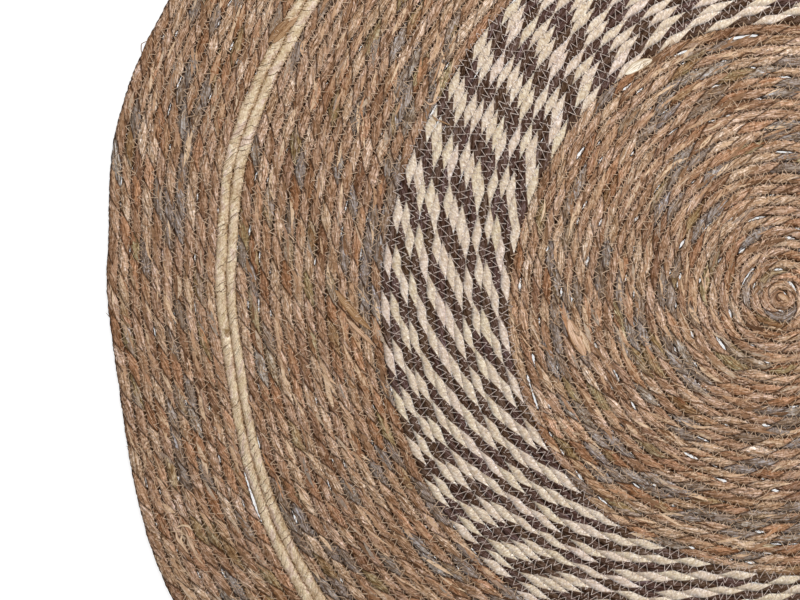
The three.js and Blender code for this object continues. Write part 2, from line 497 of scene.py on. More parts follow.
def coil_rope(name, twist, make):
    """One stretch of the coiled rope, its places along the rope and the visit of every face."""
    stretch = STRETCHES[name]
    first, last = stretch["first"], stretch["last"]
    metres, turns, degrees, inner, outer = rope_places(first, last, make["step"])
    phase, turned, size = rope_section(make, metres, FULL_TURN * twist(metres))
    if first == 0:
        # The rope starts folded in on itself, so its first turn leaves no hole.
        inner = np.where(turns < FOLDED_TURNS, np.minimum(inner, FOLDED_INNER), inner)
    wider = 1 + WIDTH_VARIES * ripple(make["seed"] + 3, spacing=0.03)(metres)
    ragged = 1 + make["rough"] * ripple(make["seed"] + 8, spacing=0.008)(metres)
    higher = 1 + HEIGHT_VARIES * ripple(make["seed"] + 4, spacing=0.04)(metres)
    half_width = make["fullness"] * (outer - inner) / 2 * wider * ragged
    half_height = stretch["height"] / 2 * higher
    if last == LAST_TURN:
        ending = np.clip((turns - LAST_TURN) / TAIL_TURNS + 1, 0, 1)
        outer = outer - TAIL_THINNER * (outer - inner) * ending
        half_width = half_width * (1 - TAIL_THINNER * ending)
        half_height = half_height * (1 - TAIL_LOWER * ending)
    reach = ((inner + outer) / 2)[:, None] + half_width[:, None] * np.cos(turned) * size
    above = np.maximum(half_height[:, None] * (1 + np.sin(turned) * size), 0)
    tops.append((metres, reach, above))
    angle = np.radians(degrees)[:, None]
    points = np.stack([reach * np.cos(angle), reach * np.sin(angle), above], axis=-1)

    ring = np.arange(len(metres) - 1)[:, None] * SIDES
    side = np.arange(SIDES)[None, :]
    after = (side + 1) % SIDES
    corners = [ring + side, ring + after, ring + SIDES + after, ring + SIDES + side]
    rope = new_mesh_object(name + "_rope", points, corners)
    mesh = rope.data

    # The two plies part at the creases, so the shading breaks there.
    ends = np.zeros(len(mesh.edges) * 2, np.int32)
    mesh.edges.foreach_get("vertices", ends)
    lines_of = ends.reshape(-1, 2) % SIDES
    in_crease = (lines_of[:, 0] == lines_of[:, 1]) & (lines_of[:, 0] % (SIDES // 2) == 0)
    sharp = mesh.attributes.new("sharp_edge", "BOOLEAN", "EDGE")
    sharp.data.foreach_set("value", in_crease)

    map_rope(mesh, metres, make["strips"])
    fold = np.abs(np.sin(section))
    add_values(mesh, "fold", "POINT", np.broadcast_to(fold, turned.shape))
    add_values(mesh, "twist", "POINT", np.broadcast_to(phase[:, None] / FULL_TURN, turned.shape))
    add_values(mesh, "ply", "FACE", np.broadcast_to(PLY_OF_SIDE, (len(metres) - 1, SIDES)))
    here = (turned[:-1] + turned[1:]) / 2
    beside = np.roll(here, -1, axis=1) + np.where(np.arange(SIDES) == SIDES - 1, FULL_TURN, 0)
    face_visit = np.floor((here + beside) / FULL_TURN).astype(int)
    face_visit -= face_visit.min()
    return rope, metres, face_visit


print("ready to coil", len(STRETCHES), "stretches of rope")

# %% [markdown]
# ## Colours of the leaf
#
# Dried seagrass runs from sand and tan to orange-brown, olive and a cool grey where the leaf was
# green or damp. Each patch gets one number from 0 to 1, its tone, and a colour ramp turns tones
# into leaf colours. Cool leaves come in runs, so a slow ripple decides where they may show, and
# there are more of them in a few bands of turns, as if that rope was twisted from a greyer lot.
# Plain noise over the rug would give clouds that pay no heed to the plies.

# %% Give every patch its tone
# the turns that are greyer in the photo, first and last of each band, and how many more of their
# patches are cool
GREY_LOTS = [(10.2, 12.3), (14.4, 17.0), (20.1, 23.0), (40.0, 43.0), (51.2, 53.0), (58.2, 60.9)]
GREY_LOT_SHARE = 0.27
WARM_BELOW = 0.72
COOL_ABOVE = 0.75
# the metres of rope in which leaves look alike, and in which there is a run of cool ones
ALIKE = 0.12
COOL_RUN = 0.22
LEAST_COOL = 0.04
MOST_COOL = 0.85
# how much of a patch's tone is its own, and how much it shares with its bundle
OWN_TONE = 0.72
SHARED_TONE = 0.5


def patch_tones(metres, face_visit, seed, cool_share):
    """One tone for each visit of a ply to the top or the underside."""
    chance = np.random.default_rng(seed)
    visits = face_visit.max() + 1
    tones = chance.random((2, visits))
    middle_visit = face_visit[:, 0]
    place = np.interp(np.arange(visits), middle_visit, metres[:-1])
    turns = np.interp(place, rope_steps, turn_steps)
    in_grey_lot = sum((turns > first) & (turns < last) for first, last in GREY_LOTS)
    for which in (0, 1):
        # Leaves of one bundle look alike, so the tone drifts and does not only jump. What is taken
        # off at the end keeps the middle of all tones at a half.
        drift = 0.5 + 0.5 * ripple(seed + 14 + which, spacing=ALIKE)(place)
        warm = OWN_TONE * tones[which] + SHARED_TONE * drift - (OWN_TONE + SHARED_TONE - 1) / 2
        tones[which] = WARM_BELOW * np.clip(warm, 0, 1)
        run = ripple(seed + 10 + which, spacing=COOL_RUN)(place)
        likely = np.clip(cool_share + 0.75 * (run - 0.45), LEAST_COOL, MOST_COOL)
        cool = chance.random(visits) < likely + GREY_LOT_SHARE * in_grey_lot
        tones[which, cool] = COOL_ABOVE + (1 - COOL_ABOVE) * chance.random(cool.sum())
    return tones[PLY_OF_SIDE, face_visit]


grey_turns = sum(last - first for first, last in GREY_LOTS)
print("turns with greyer leaf:", round(grey_turns, 1), "of", LAST_TURN)

# %% [markdown]
# ## Short ways to write a finish
#
# A finish is a tree of shader nodes. Adding each node and link takes several lines, so a small
# class does it in one: every method adds a node and returns its output, and any input may be a
# number or another node's output. Brightness is changed in one place, because leaf gets redder in
# the dark and paler in the light, where plain mixing with black would turn it grey.

# %% Write short ways to add nodes
# how strongly red, green and blue follow a change of brightness
WARM_SHADE = (0.76, 1.0, 1.32)
# noise hardly goes below the first of these or above the second
NOISE_RANGE = (0.3, 0.7)
ROPE_MIDDLE = 3.5 * MM


class Nodes:
    """A new material, and short ways to add and join its shader nodes."""

    def __init__(self, name, roughness):
        self.material, self.tree, self.shader = new_material(name, roughness)

    def join(self, value, socket):
        """Put a number or an output on a socket. A pair is multiplied together first."""
        if isinstance(value, tuple) and len(value) == 2:
            value = self.math("MULTIPLY", *value)
        if hasattr(value, "links"):
            self.tree.links.new(value, socket)
        else:
            socket.default_value = value

    def math(self, kind, a, b=0.0, clamp=False):
        node = self.tree.nodes.new("ShaderNodeMath")
        node.operation = kind
        node.use_clamp = clamp
        self.join(a, node.inputs[0])
        self.join(b, node.inputs[1])
        return node.outputs[0]

    def add(self, total, *others):
        """The sum of outputs, or of pairs of an output and how much of it counts."""
        for other in others:
            total = self.math("ADD", total, other)
        return total

    def spread(self, value, low, high, to_low, to_high):
        """A value moved from the range low to high into the range to_low to to_high."""
        node = self.tree.nodes.new("ShaderNodeMapRange")
        for socket, number in zip(node.inputs, (value, low, high, to_low, to_high)):
            self.join(number, socket)
        return node.outputs[0]

    def between(self, noise, low, high):
        """A noise, made to run from low to high."""
        return self.spread(noise, *NOISE_RANGE, low, high)

    def value_of(self, name):
        node = self.tree.nodes.new("ShaderNodeAttribute")
        node.attribute_name = name
        return node.outputs["Fac"]

    def lay_place(self):
        """The place along the rope, in metres, and round it, as a share of its girth."""
        node = self.tree.nodes.new("ShaderNodeUVMap")
        node.uv_map = "lay"
        parts = self.tree.nodes.new("ShaderNodeSeparateXYZ")
        self.tree.links.new(node.outputs[0], parts.inputs[0])
        return parts.outputs[0], parts.outputs[1]

    def point(self, x, y, z=0.0):
        node = self.tree.nodes.new("ShaderNodeCombineXYZ")
        for socket, number in zip(node.inputs, (x, y, z)):
            self.join(number, socket)
        return node.outputs[0]

    def noise(self, x, y, z, detail=2.0, roughness=0.6):
        """Noise at a point. A pair such as (along, 60) has 60 spots of noise in a metre."""
        place = self.point(x, y, z)
        node = self.tree.nodes.new("ShaderNodeTexNoise")
        node.inputs["Scale"].default_value = 1.0
        node.inputs["Detail"].default_value = detail
        node.inputs["Roughness"].default_value = roughness
        self.tree.links.new(place, node.inputs["Vector"])
        return node.outputs["Fac"]

    def luck(self, x, y):
        """A random number from 0 to 1 that stays the same for the same x and y."""
        place = self.point(x, y)
        node = self.tree.nodes.new("ShaderNodeTexWhiteNoise")
        self.tree.links.new(place, node.inputs["Vector"])
        return node.outputs["Value"]

    def ramp(self, value, stops):
        node = self.tree.nodes.new("ShaderNodeValToRGB")
        ramp = node.color_ramp
        while len(ramp.elements) < len(stops):
            ramp.elements.new(0.5)
        for element, (place, *screen) in zip(ramp.elements, stops):
            element.position = place
            element.color = from_screen(*screen)
        self.join(value, node.inputs[0])
        return node.outputs[0]

    def mix(self, share, a, b):
        node = self.tree.nodes.new("ShaderNodeMix")
        node.data_type = "RGBA"
        self.join(share, node.inputs[0])
        self.join(a, node.inputs[6])
        self.join(b, node.inputs[7])
        return node.outputs[2]

    def shade(self, colour, amount):
        """The colour made lighter or darker, and so paler or redder."""
        red, green, blue = (self.math("POWER", amount, power) for power in WARM_SHADE)
        light = self.point(red, green, blue)
        node = self.tree.nodes.new("ShaderNodeVectorMath")
        node.operation = "MULTIPLY"
        self.join(colour, node.inputs[0])
        self.join(light, node.inputs[1])
        return node.outputs[0]

    def darken(self, colour, light, shadow):
        """The colour where light is 1, and a shadow's own colour where it is 0."""
        return self.mix(light, shadow, colour)

    def position(self):
        """The place on the rug, in metres."""
        return self.tree.nodes.new("ShaderNodeNewGeometry").outputs["Position"]

    def height(self):
        """How high a place lies, in metres, with the underside counted as the top is."""
        parts = self.tree.nodes.new("ShaderNodeSeparateXYZ")
        self.join(self.position(), parts.inputs[0])
        from_middle = self.math("ABSOLUTE", self.math("SUBTRACT", parts.outputs[2], ROPE_MIDDLE))
        return self.math("ADD", from_middle, ROPE_MIDDLE)

    def finish(self, colour, gloss, relief=None, strength=1.0, depth=0.001):
        """The last links: the colour, how much gloss there is, and a bump of some depth."""
        self.join(colour, self.shader.inputs["Base Color"])
        self.shader.inputs["Specular IOR Level"].default_value = gloss
        if relief is not None:
            node = self.tree.nodes.new("ShaderNodeBump")
            node.inputs["Strength"].default_value = strength
            node.inputs["Distance"].default_value = depth
            self.join(relief, node.inputs["Height"])
            self.join(node.outputs[0], self.shader.inputs["Normal"])
        return self.material


def from_screen(red, green, blue):
    """A colour as it looks on a screen, 0 to 255, as Blender's linear colour."""
    parts = [channel / 255 for channel in (red, green, blue)]
    linear = [c / 12.92 if c <= 0.04045 else ((c + 0.055) / 1.055) ** 2.4 for c in parts]
    return (*linear, 1)


finishes = {}
print("a mid grey of 128 on a screen is", round(from_screen(128, 128, 128)[0], 3), "in Blender")

# %% [markdown]
# ## Dry seagrass
#
# A ply of seagrass is a bundle of flat, dry leaves. It shows fine streaks that run along the ply,
# some broad blades of another shade, and painted shade between the blades, in the creases and in
# the grooves. The streaks are noise on the rope's own coordinates, stretched long along the lay, so
# they turn with the twist. The same noise gives the bump and the roughness. An image of leaf would
# repeat on 120 metres of rope.

# %% Write the finish of seagrass
BLADES_IN_SEAGRASS = 6


def leaf_blades(nodes, count, lean, waviness):
    """Coordinates of the leaf blades in a ply: the place in its blade, and the blade's luck."""
    along, around = nodes.lay_place()
    tone = nodes.value_of("tone")
    turned = nodes.spread(nodes.luck(tone, 0.5), 0, 1, *lean)
    place = nodes.math("ADD", around, (turned, nodes.value_of("twist")))
    seed = nodes.math("MULTIPLY", tone, 37.0)
    wave = nodes.noise((along, 45), (around, 4), seed)
    wave = nodes.spread(wave, 0.25, 0.75, -waviness, waviness)
    counted = nodes.math("ADD", (place, count), wave)
    blade_luck = nodes.luck(nodes.math("FLOOR", counted), (tone, 91.0))
    within = nodes.math("FRACT", counted)
    return along, place, tone, seed, blade_luck, within


def seagrass_finish():
    """Leaf with blades, streaks and veins along the ply, and painted shade in creases and grooves."""
    nodes = Nodes("dry seagrass", 0.7)
    along, place, tone, seed, blade_luck, within = leaf_blades(
        nodes, BLADES_IN_SEAGRASS, lean=(0.45, 1.1), waviness=1.1)
    blade_tone = nodes.spread(blade_luck, 0, 1, -0.06, 0.06)
    leaf = nodes.ramp(nodes.math("ADD", tone, blade_tone, clamp=True), [
        (0.00, 149, 113, 89),
        (0.10, 172, 136, 109),
        (0.22, 187, 151, 124),
        (0.33, 200, 165, 138),
        (0.43, 208, 178, 149),
        (0.52, 187, 142, 109),
        (0.60, 162, 120, 91),
        (0.67, 166, 144, 106),
        (0.74, 161, 137, 117),
        (0.82, 156, 138, 123),
        (0.90, 150, 133, 122),
        (0.96, 156, 142, 130),
        (1.00, 167, 150, 133),
    ])
    shadow = from_screen(44, 19, 5)
    streaks = nodes.noise((along, 60), (place, 26), seed, 2)
    veins = nodes.noise((along, 110), (place, 60), seed, 1)
    specks = nodes.noise((along, 520), (place, 8), seed, 1, 0.5)
    edge = nodes.math("ABSOLUTE", nodes.math("SUBTRACT", within, 0.5))
    colour = nodes.shade(leaf, nodes.spread(nodes.luck(tone, 7.7), 0, 1, 0.76, 1.07))
    colour = nodes.shade(colour, nodes.spread(blade_luck, 0, 1, 0.8, 1.16))
    colour = nodes.darken(colour, nodes.spread(streaks, 0.32, 0.45, 0.5, 1.0), shadow)
    colour = nodes.shade(colour, nodes.spread(streaks, 0.45, 0.68, 0.9, 1.36))
    colour = nodes.shade(colour, nodes.spread(veins, 0.35, 0.65, 0.42, 1.54))
    colour = nodes.shade(colour, nodes.between(specks, 0.68, 1.34))
    # Shade between two blades, in the creases between two plies, and in the grooves.
    colour = nodes.darken(colour, nodes.spread(edge, 0.42, 0.49, 1.0, 0.38), shadow)
    crease = nodes.spread(nodes.value_of("fold"), 0.0, 0.28, 0.12, 1.0)
    colour = nodes.darken(colour, crease, shadow)
    depth = nodes.add(nodes.height(), nodes.between(veins, -0.0008, 0.0008))
    colour = nodes.darken(colour, nodes.spread(depth, 0.0040, 0.0059, 0.0, 1.0), shadow)
    nodes.join(nodes.between(streaks, 0.6, 0.85), nodes.shader.inputs["Roughness"])
    rounded = nodes.spread(edge, 0.2, 0.5, 1.0, 0.0)
    relief = nodes.math("ADD", (rounded, 0.8), (streaks, 0.6))
    # Hardly any gloss, because a glossy groove would look grey.
    return nodes.finish(colour, gloss=0.04, relief=relief, strength=0.8, depth=0.0009)


finishes["seagrass"] = seagrass_finish()
print("nodes in the finish of seagrass:", len(finishes["seagrass"].node_tree.nodes))

# %% [markdown]
# ## Cream and brown plies
#
# One ply of the ring is cream and the other a dark brown, as if bleached and dyed. Both come from
# the same finish, which picks its colour by the ply's number. The brown ply gets the stronger
# streaks, as dye takes unevenly. Two materials would need the faces sorted between them.

# %% Write the finish of the two-tone rope
BLADES_IN_RING_PLY = 12


def two_tone_finish():
    """Cream leaf on one ply and dyed brown leaf on the other."""
    nodes = Nodes("cream and brown plies", 0.75)
    along, place, tone, seed, blade_luck, _ = leaf_blades(
        nodes, BLADES_IN_RING_PLY, lean=(0.1, 0.5), waviness=0.8)
    streaks = nodes.noise((along, 60), (place, 26), seed, 2)
    grain = nodes.noise((along, 420), (place, 30), seed, 2)
    specks = nodes.noise((along, 560), (place, 9), seed, 1, 0.5)
    cream = nodes.mix(tone, from_screen(228, 212, 186), from_screen(232, 213, 199))
    cream = nodes.shade(cream, nodes.between(streaks, 0.8, 1.16))
    cream = nodes.shade(cream, nodes.between(grain, 0.8, 1.14))
    cream = nodes.shade(cream, nodes.between(specks, 0.7, 1.22))
    # Painted light in the groove between two turns, for the light that pale plies throw there, so a
    # cream groove is hardly darker.
    cream = nodes.shade(cream, nodes.spread(nodes.height(), 0.0034, 0.0060, 1.75, 0.98))
    brown = nodes.mix(nodes.luck(tone, 3.5), from_screen(92, 70, 53), from_screen(88, 65, 58))
    brown = nodes.shade(brown, nodes.spread(streaks, 0.35, 0.65, 0.2, 1.8))
    brown = nodes.shade(brown, nodes.spread(grain, 0.35, 0.65, 0.3, 1.7))
    brown = nodes.shade(brown, nodes.spread(blade_luck, 0, 1, 0.6, 1.3))
    colour = nodes.mix(nodes.value_of("ply"), cream, brown)
    # Painted shade in the creases between the two plies.
    crease = nodes.spread(nodes.value_of("fold"), 0.0, 0.2, 0.35, 1.0)
    colour = nodes.darken(colour, crease, from_screen(70, 46, 34))
    relief = nodes.math("ADD", streaks, (grain, 0.5))
    return nodes.finish(colour, gloss=0.08, relief=relief, strength=0.5, depth=0.0006)


finishes["two_tone"] = two_tone_finish()
print("nodes in the two-tone finish:", len(finishes["two_tone"].node_tree.nodes))

# %% [markdown]
# ## Pale wrinkled cord
#
# The two cream turns are a softer leaf, wrapped so tightly that it wrinkles across the cord. Each
# wrinkle is a thin line of painted shade and a small dip in the bump, that leans with the wrapping,
# and they come in clusters. The lines are made by counting along the cord and asking for luck at
# each count. They could be modelled, but they are finer than the mesh. One old stain lies on the
# outer cord.

# %% Write the finish of the cords
# deep wrinkles go right across the cord, and shallow ones over half of it: the spacing in metres,
# the greatest share of places that have one, its width as a share of the spacing, how light its
# painted shade is, and how many there are side by side
WRINKLES = [
    dict(spacing=0.0054, often=0.30, width=0.085, light=0.0, abreast=0.4),
    dict(spacing=0.0025, often=0.36, width=0.17, light=0.45, abreast=1.2),
]
STAIN = (-0.4907, -0.0302, 0.0060)


def wrinkle_lines(nodes, wrapped, across, warp, cluster, wrinkle):
    """One kind of wrinkle: 0 in its line and 1 beside it."""
    counted = nodes.math("MULTIPLY", wrapped, 1 / wrinkle["spacing"])
    counted = nodes.math("ADD", counted, (warp, 1.8))
    side = nodes.math("ROUND", (across, wrinkle["abreast"]))
    here = nodes.luck(nodes.math("FLOOR", counted), side)
    chance = nodes.spread(cluster, 0.38, 0.62, 0.0, wrinkle["often"])
    off = nodes.math("SUBTRACT", nodes.math("FRACT", counted), 0.5)
    off = nodes.math("ABSOLUTE", off)
    line = nodes.spread(off, wrinkle["width"] / 3, wrinkle["width"], 0.0, 1.0)
    smooth = nodes.spread(nodes.math("SUBTRACT", here, chance), 0.0, 0.1, 0.0, 1.0)
    return nodes.math("MAXIMUM", line, smooth, clamp=True)


def cream_finish():
    """Soft pale leaf with wrinkles across it, and with one stain."""
    nodes = Nodes("pale wrinkled cord", 0.7)
    along, around = nodes.lay_place()
    turned = nodes.math("ADD", around, nodes.value_of("twist"))
    across = nodes.math("COSINE", (turned, FULL_TURN))
    # Wrinkles lean more in one place than in the next, and come in clusters.
    slope = nodes.between(nodes.noise((along, 45), 0.0, 5.0), 0.001, 0.0085)
    wrapped = nodes.math("SUBTRACT", along, (across, slope))
    warp = nodes.noise((along, 60), (across, 0.8), 2.0)
    cluster = nodes.noise((wrapped, 36), (across, 0.4), 8.0)
    patches = nodes.noise((wrapped, 60), (across, 0.5), 3.0)
    worn = nodes.noise((along, 26), (across, 0.2), 4.0, 1)
    folds = nodes.noise((wrapped, 420), (across, 1.6), 6.0, 1)
    fine = nodes.noise((along, 480), (around, 34), 11.0, 2, 0.6)
    colour = nodes.ramp(patches, [
        (0.28, 193, 165, 135),
        (0.37, 227, 207, 172),
        (0.46, 219, 195, 167),
        (0.53, 239, 221, 190),
        (0.61, 231, 207, 190),
        (0.72, 197, 171, 145),
    ])
    colour = nodes.shade(colour, nodes.between(worn, 0.86, 1.1))
    relief = 1.0
    for wrinkle in WRINKLES:
        line = wrinkle_lines(nodes, wrapped, across, warp, cluster, wrinkle)
        # Painted shade along the wrinkle's line.
        light = nodes.spread(line, 0.0, 1.0, wrinkle["light"], 1.0)
        colour = nodes.darken(colour, light, from_screen(104, 72, 46))
        relief = nodes.math("MULTIPLY", line, relief)
    colour = nodes.shade(colour, nodes.between(folds, 0.83, 1.1))
    colour = nodes.shade(colour, nodes.between(fine, 0.62, 1.24))
    # Shade in the grooves beside the cords, with a ragged edge.
    depth = nodes.add(nodes.height(), nodes.between(warp, -0.0008, 0.0005))
    depth = nodes.add(depth, nodes.between(folds, -0.0005, 0.0005))
    colour = nodes.shade(colour, nodes.spread(depth, 0.0042, 0.0060, 0.35, 1.0))
    away = nodes.tree.nodes.new("ShaderNodeVectorMath")
    away.operation = "DISTANCE"
    nodes.join(nodes.position(), away.inputs[0])
    away.inputs[1].default_value = STAIN
    ragged = nodes.add(away.outputs["Value"], nodes.between(fine, -0.0012, 0.0012))
    clean = nodes.spread(ragged, 0.0020, 0.0056, 0.1, 1.0)
    colour = nodes.darken(colour, clean, from_screen(128, 98, 58))
    relief = nodes.add(relief, (folds, 0.25), (fine, 0.2))
    return nodes.finish(colour, gloss=0.15, relief=relief, strength=0.7, depth=0.0008)


finishes["cream"] = cream_finish()
print("nodes in the finish of the cords:", len(finishes["cream"].node_tree.nodes))

# %% [markdown]
# ## Sewing thread
#
# The seams are sewn with a fine tan thread, and those of the ring with a greyer one. A thread this
# thin shows no strands, so its finish only fades between a dull and a bright shade along the seam.
# A single colour would look like wire.

# %% Write the finish of the threads
def thread_finish(name, dull, bright):
    """Thread that fades between two shades along the seam."""
    nodes = Nodes(name, 0.6)
    fade = nodes.noise((nodes.value_of("run"), 90), 0.0, 0.0)
    colour = nodes.mix(nodes.between(fade, 0.0, 1.0), from_screen(*dull), from_screen(*bright))
    return nodes.finish(colour, gloss=0.35)


finishes["thread"] = thread_finish("tan thread", (174, 141, 111), (230, 204, 176))
finishes["ring_thread"] = thread_finish("grey thread", (182, 162, 152), (234, 218, 206))
print("finishes:", ", ".join(finishes))

# %% [markdown]
# ## The five stretches of rope
#
# The seagrass rope has a lay of about 48 mm, which is how far one ply travels for a full turn
# round the rope. The two-tone rope is a little finer and its creases are shallower. The pale cord
# has hardly any creases, but its surface is rough all over, so it gets shorter steps. One function
# coils them all, because they differ only in such numbers.

# %% Coil the ropes
# step is the length of a face. top and side say how full the rope still is at a crease there, and
# fullness how far it presses on its neighbours. A squareness of 2 is a round section. bulge, uneven
# and rough say how much its patches, its plies and its surface vary, and cool how much of its leaf
# is grey. strips are those of its second map.
SEAGRASS = dict(slot="seagrass", step=ROPE_STEP, top=0.72, side=0.9, squareness=2.8, fullness=1.14,
                bulge=0.11, uneven=0.26, rough=0.035)
ROPES = {
    "seagrass_centre": dict(SEAGRASS, lay=47 * MM, seed=100, strips=21, cool=0.13),
    "two_tone_ring": dict(slot="two_tone", seed=200, strips=28, cool=0.14, step=ROPE_STEP,
                          top=0.84, side=0.97, squareness=2.7, fullness=1.06, bulge=0.03,
                          uneven=0.1, rough=0.012),
    "seagrass_middle": dict(SEAGRASS, lay=48 * MM, seed=300, strips=36, cool=0.17),
    "cream_cords": dict(slot="cream", lay=90 * MM, seed=400, strips=9, cool=0.14, step=2.6 * MM,
                        top=0.97, side=0.99, squareness=2.7, fullness=1.08, bulge=0.02,
                        uneven=0.0, rough=0.06),
    "seagrass_rim": dict(SEAGRASS, lay=49 * MM, seed=500, strips=37, cool=0.06),
}


def twist_of(name, make):
    """The function that says how far a stretch of rope is twisted at each place."""
    if name == "two_tone_ring":
        return ring_twist
    return lambda metres: even_twist(metres, make["lay"], make["seed"])


ropes = {}
for name, make in ROPES.items():
    rope, metres, face_visit = coil_rope(name, twist_of(name, make), make)
    tones = patch_tones(metres, face_visit, make["seed"] + 50, make["cool"])
    add_values(rope.data, "tone", "FACE", tones)
    dress(rope, finishes[make["slot"]])
    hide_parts(name)
    ropes[name] = rope
    length = round(float(np.ptp(metres)), 1)
    print(name, "rope of", length, "m,", 2 * len(rope.data.polygons), "triangles")

# %% [markdown]
# ## The zigzag seams
#
# A sewing machine swings its needle from one turn to the next, so the thread lies in a zigzag
# over every seam, and its points go down into the rope. No two swings are quite alike. Each point
# of the zigzag asks the rope's own arrays how high the rope is there. Casting rays down on the
# mesh would tell it too, but one by one.

# %% Plan the zigzag
STITCH = 4.1 * MM
STITCH_VARIES = 0.42
LOWEST_STITCH = 3.2 * MM
# a thread slips to the inner side of a seam that opens by more than this share of this width, and
# comes to lie this far inside it, as a share of its swing
SLIP_SHARE = 0.4
SLIP_WIDTH = 2.2 * MM
SLIPPED_TO = 0.6
SEAGRASS_SEAM = dict(swing=3.0 * MM, uneven=0.55, sink=1.2 * MM, radius=0.31 * MM, finish="thread")
# first and last turn, how far the needle swings each way and how unevenly, how deep a thread may
# sink, its radius and its finish. The last seam ends where the rope outside it does.
SEAMS = {
    "centre": dict(SEAGRASS_SEAM, first=1.0, last=26),
    "ring": dict(first=26, last=40, swing=4.0 * MM, uneven=0.3, sink=0.25 * MM, radius=0.26 * MM,
                 finish="ring_thread"),
    "middle": dict(SEAGRASS_SEAM, first=40, last=53),
    "rim": dict(SEAGRASS_SEAM, first=53, last=LAST_TURN - 0.55),
}

rope_metres = np.concatenate([top[0] for top in tops])
rope_radii = np.concatenate([top[1] for top in tops])
rope_heights = np.concatenate([top[2] for top in tops])


def height_on_rope(turns, radius):
    """How high the top of one turn of rope is at a radius."""
    ring = np.clip(np.searchsorted(rope_metres, rope_length(turns)), 0, len(rope_metres) - 1)
    radii, heights = rope_radii[ring], rope_heights[ring]
    highest = np.zeros(len(radius))
    for side in range(SIDES):
        after = (side + 1) % SIDES
        share = (radius - radii[:, side]) / (radii[:, after] - radii[:, side] + 1e-9)
        there = heights[:, side] + share * (heights[:, after] - heights[:, side])
        highest = np.where((share >= 0) & (share <= 1), np.maximum(highest, there), highest)
    return highest


def zigzag(seam, seed):
    """The points of a zigzag over a seam, alternately inside and outside it."""
    start, end = rope_length(seam["first"]), rope_length(seam["last"])
    chance = np.random.default_rng(seed)
    count = int((end - start) / STITCH)
    metres = start + (np.arange(count) + STITCH_VARIES * chance.uniform(-1, 1, count)) * STITCH
    metres = np.clip(metres, start, end)
    turns = np.interp(metres, rope_steps, turn_steps)
    degrees = 360 * ((turns + 0.5) % 1)
    side = np.where(np.arange(count) % 2, 1, -1)
    swing = seam["swing"] * (1 + seam["uneven"] * chance.uniform(-1, 1, count))
    # Where the seam stands open, the thread has slipped to its inner side.
    slipped = np.clip(seam_gap(turns) / SLIP_WIDTH - SLIP_SHARE, 0, 1)
    across = side * swing * (1 - slipped) - SLIPPED_TO * seam["swing"] * slipped
    radius = seam_radius(turns, degrees) + across
    sunk = seam["sink"] * chance.random(count) ** 2
    height = height_on_rope(turns + 0.5 * np.sign(across), radius) - sunk
    return metres, np.radians(degrees), radius, np.maximum(height, LOWEST_STITCH)


stitches = sum((rope_length(seam["last"]) - rope_length(seam["first"])) / STITCH
               for seam in SEAMS.values())
print("stitches in all:", int(stitches))

# %% [markdown]
# ## The thread
#
# On top the thread is two narrow faces that meet in a ridge, with one row of points at each tip of
# the zigzag, because its other sides are never seen. Underneath it is a flat tape, which is enough
# where it is pressed to the floor. A curve with a round bevel would take many more faces and look
# the same.

# %% Sew the turns together
# the thread's section and the tape's, across and upwards, as shares of the thread's radius
THREAD_SECTION = [(-1.1, -0.2), (0, 0.6), (1.1, -0.2)]
TAPE_SECTION = [(-1.3, 0), (1.3, 0)]
TAPE_HEIGHT = 0.15 * MM
TOP_SEED = 900
UNDER_SEED = 950


def sew(name, seam, under, seed):
    """One thread along all the seams from one turn to another, on top or underneath."""
    metres, angle, radius, height = zigzag(seam, seed)
    if under:
        height = np.full(len(angle), TAPE_HEIGHT)
    middle = np.stack([radius * np.cos(angle), radius * np.sin(angle), height], axis=-1)
    forwards = np.stack([-np.sin(angle), np.cos(angle), np.zeros(len(angle))], axis=-1)
    upwards = np.array([0, 0, 1])
    shape = TAPE_SECTION if under else THREAD_SECTION
    rows = [middle + seam["radius"] * (x * forwards + z * upwards) for x, z in shape]
    points = np.stack(rows, axis=1)
    count = len(shape)
    ring = np.arange(len(angle) - 1)[:, None] * count
    side = np.arange(count - 1)[None, :]
    corners = [ring + side, ring + side + 1, ring + count + side + 1, ring + count + side]
    thread = new_mesh_object(name, points, corners)
    thread.data.polygons.foreach_set("use_smooth", np.zeros(len(thread.data.polygons), bool))
    add_values(thread.data, "run", "POINT", np.repeat(metres, count))
    dress(thread, finishes[seam["finish"]])
    return thread


threads = []
for seed, (name, seam) in enumerate(SEAMS.items()):
    thread = sew("stitches_" + name, seam, False, TOP_SEED + seed)
    tape = sew("stitches_under_" + name, seam, True, UNDER_SEED + seed)
    threads += [thread, tape]
    triangles = 2 * (len(thread.data.polygons) + len(tape.data.polygons))
    print("seams of the", name, "have", triangles, "triangles")

# %% [markdown]
# ## Loose blades and fibres
#
# Leaf is never all caught by the twist. Blades with pointed ends lie over the creases, and thin
# fibres stand out at all angles. Each is a narrow strip that is laid on the rope: both of its
# edges ask how high the rope is below them. A hair system could scatter them, but its hairs
# wouldn't lie down on the plies.

# %% Write how a strip is laid on the rope
LOWEST_LOOSE = 5.2 * MM
BEND = np.radians(12)
# no leaf lies on the very start or end of the rope
END_MARGIN = 0.1


def turn_below(radius, degrees):
    """The turn of rope that is below a place."""
    even = radius - unevenness(radius, degrees)
    turns = np.interp(even, radius_marks, turn_marks)
    return np.clip(np.round(turns - degrees / 360) + degrees / 360, END_MARGIN, LAST_TURN - END_MARGIN)


def height_below(x, y):
    """How high the rope is at places of the plane."""
    reach, degrees = np.hypot(x, y), np.degrees(np.arctan2(y, x)) % 360
    return height_on_rope(turn_below(reach, degrees), reach)


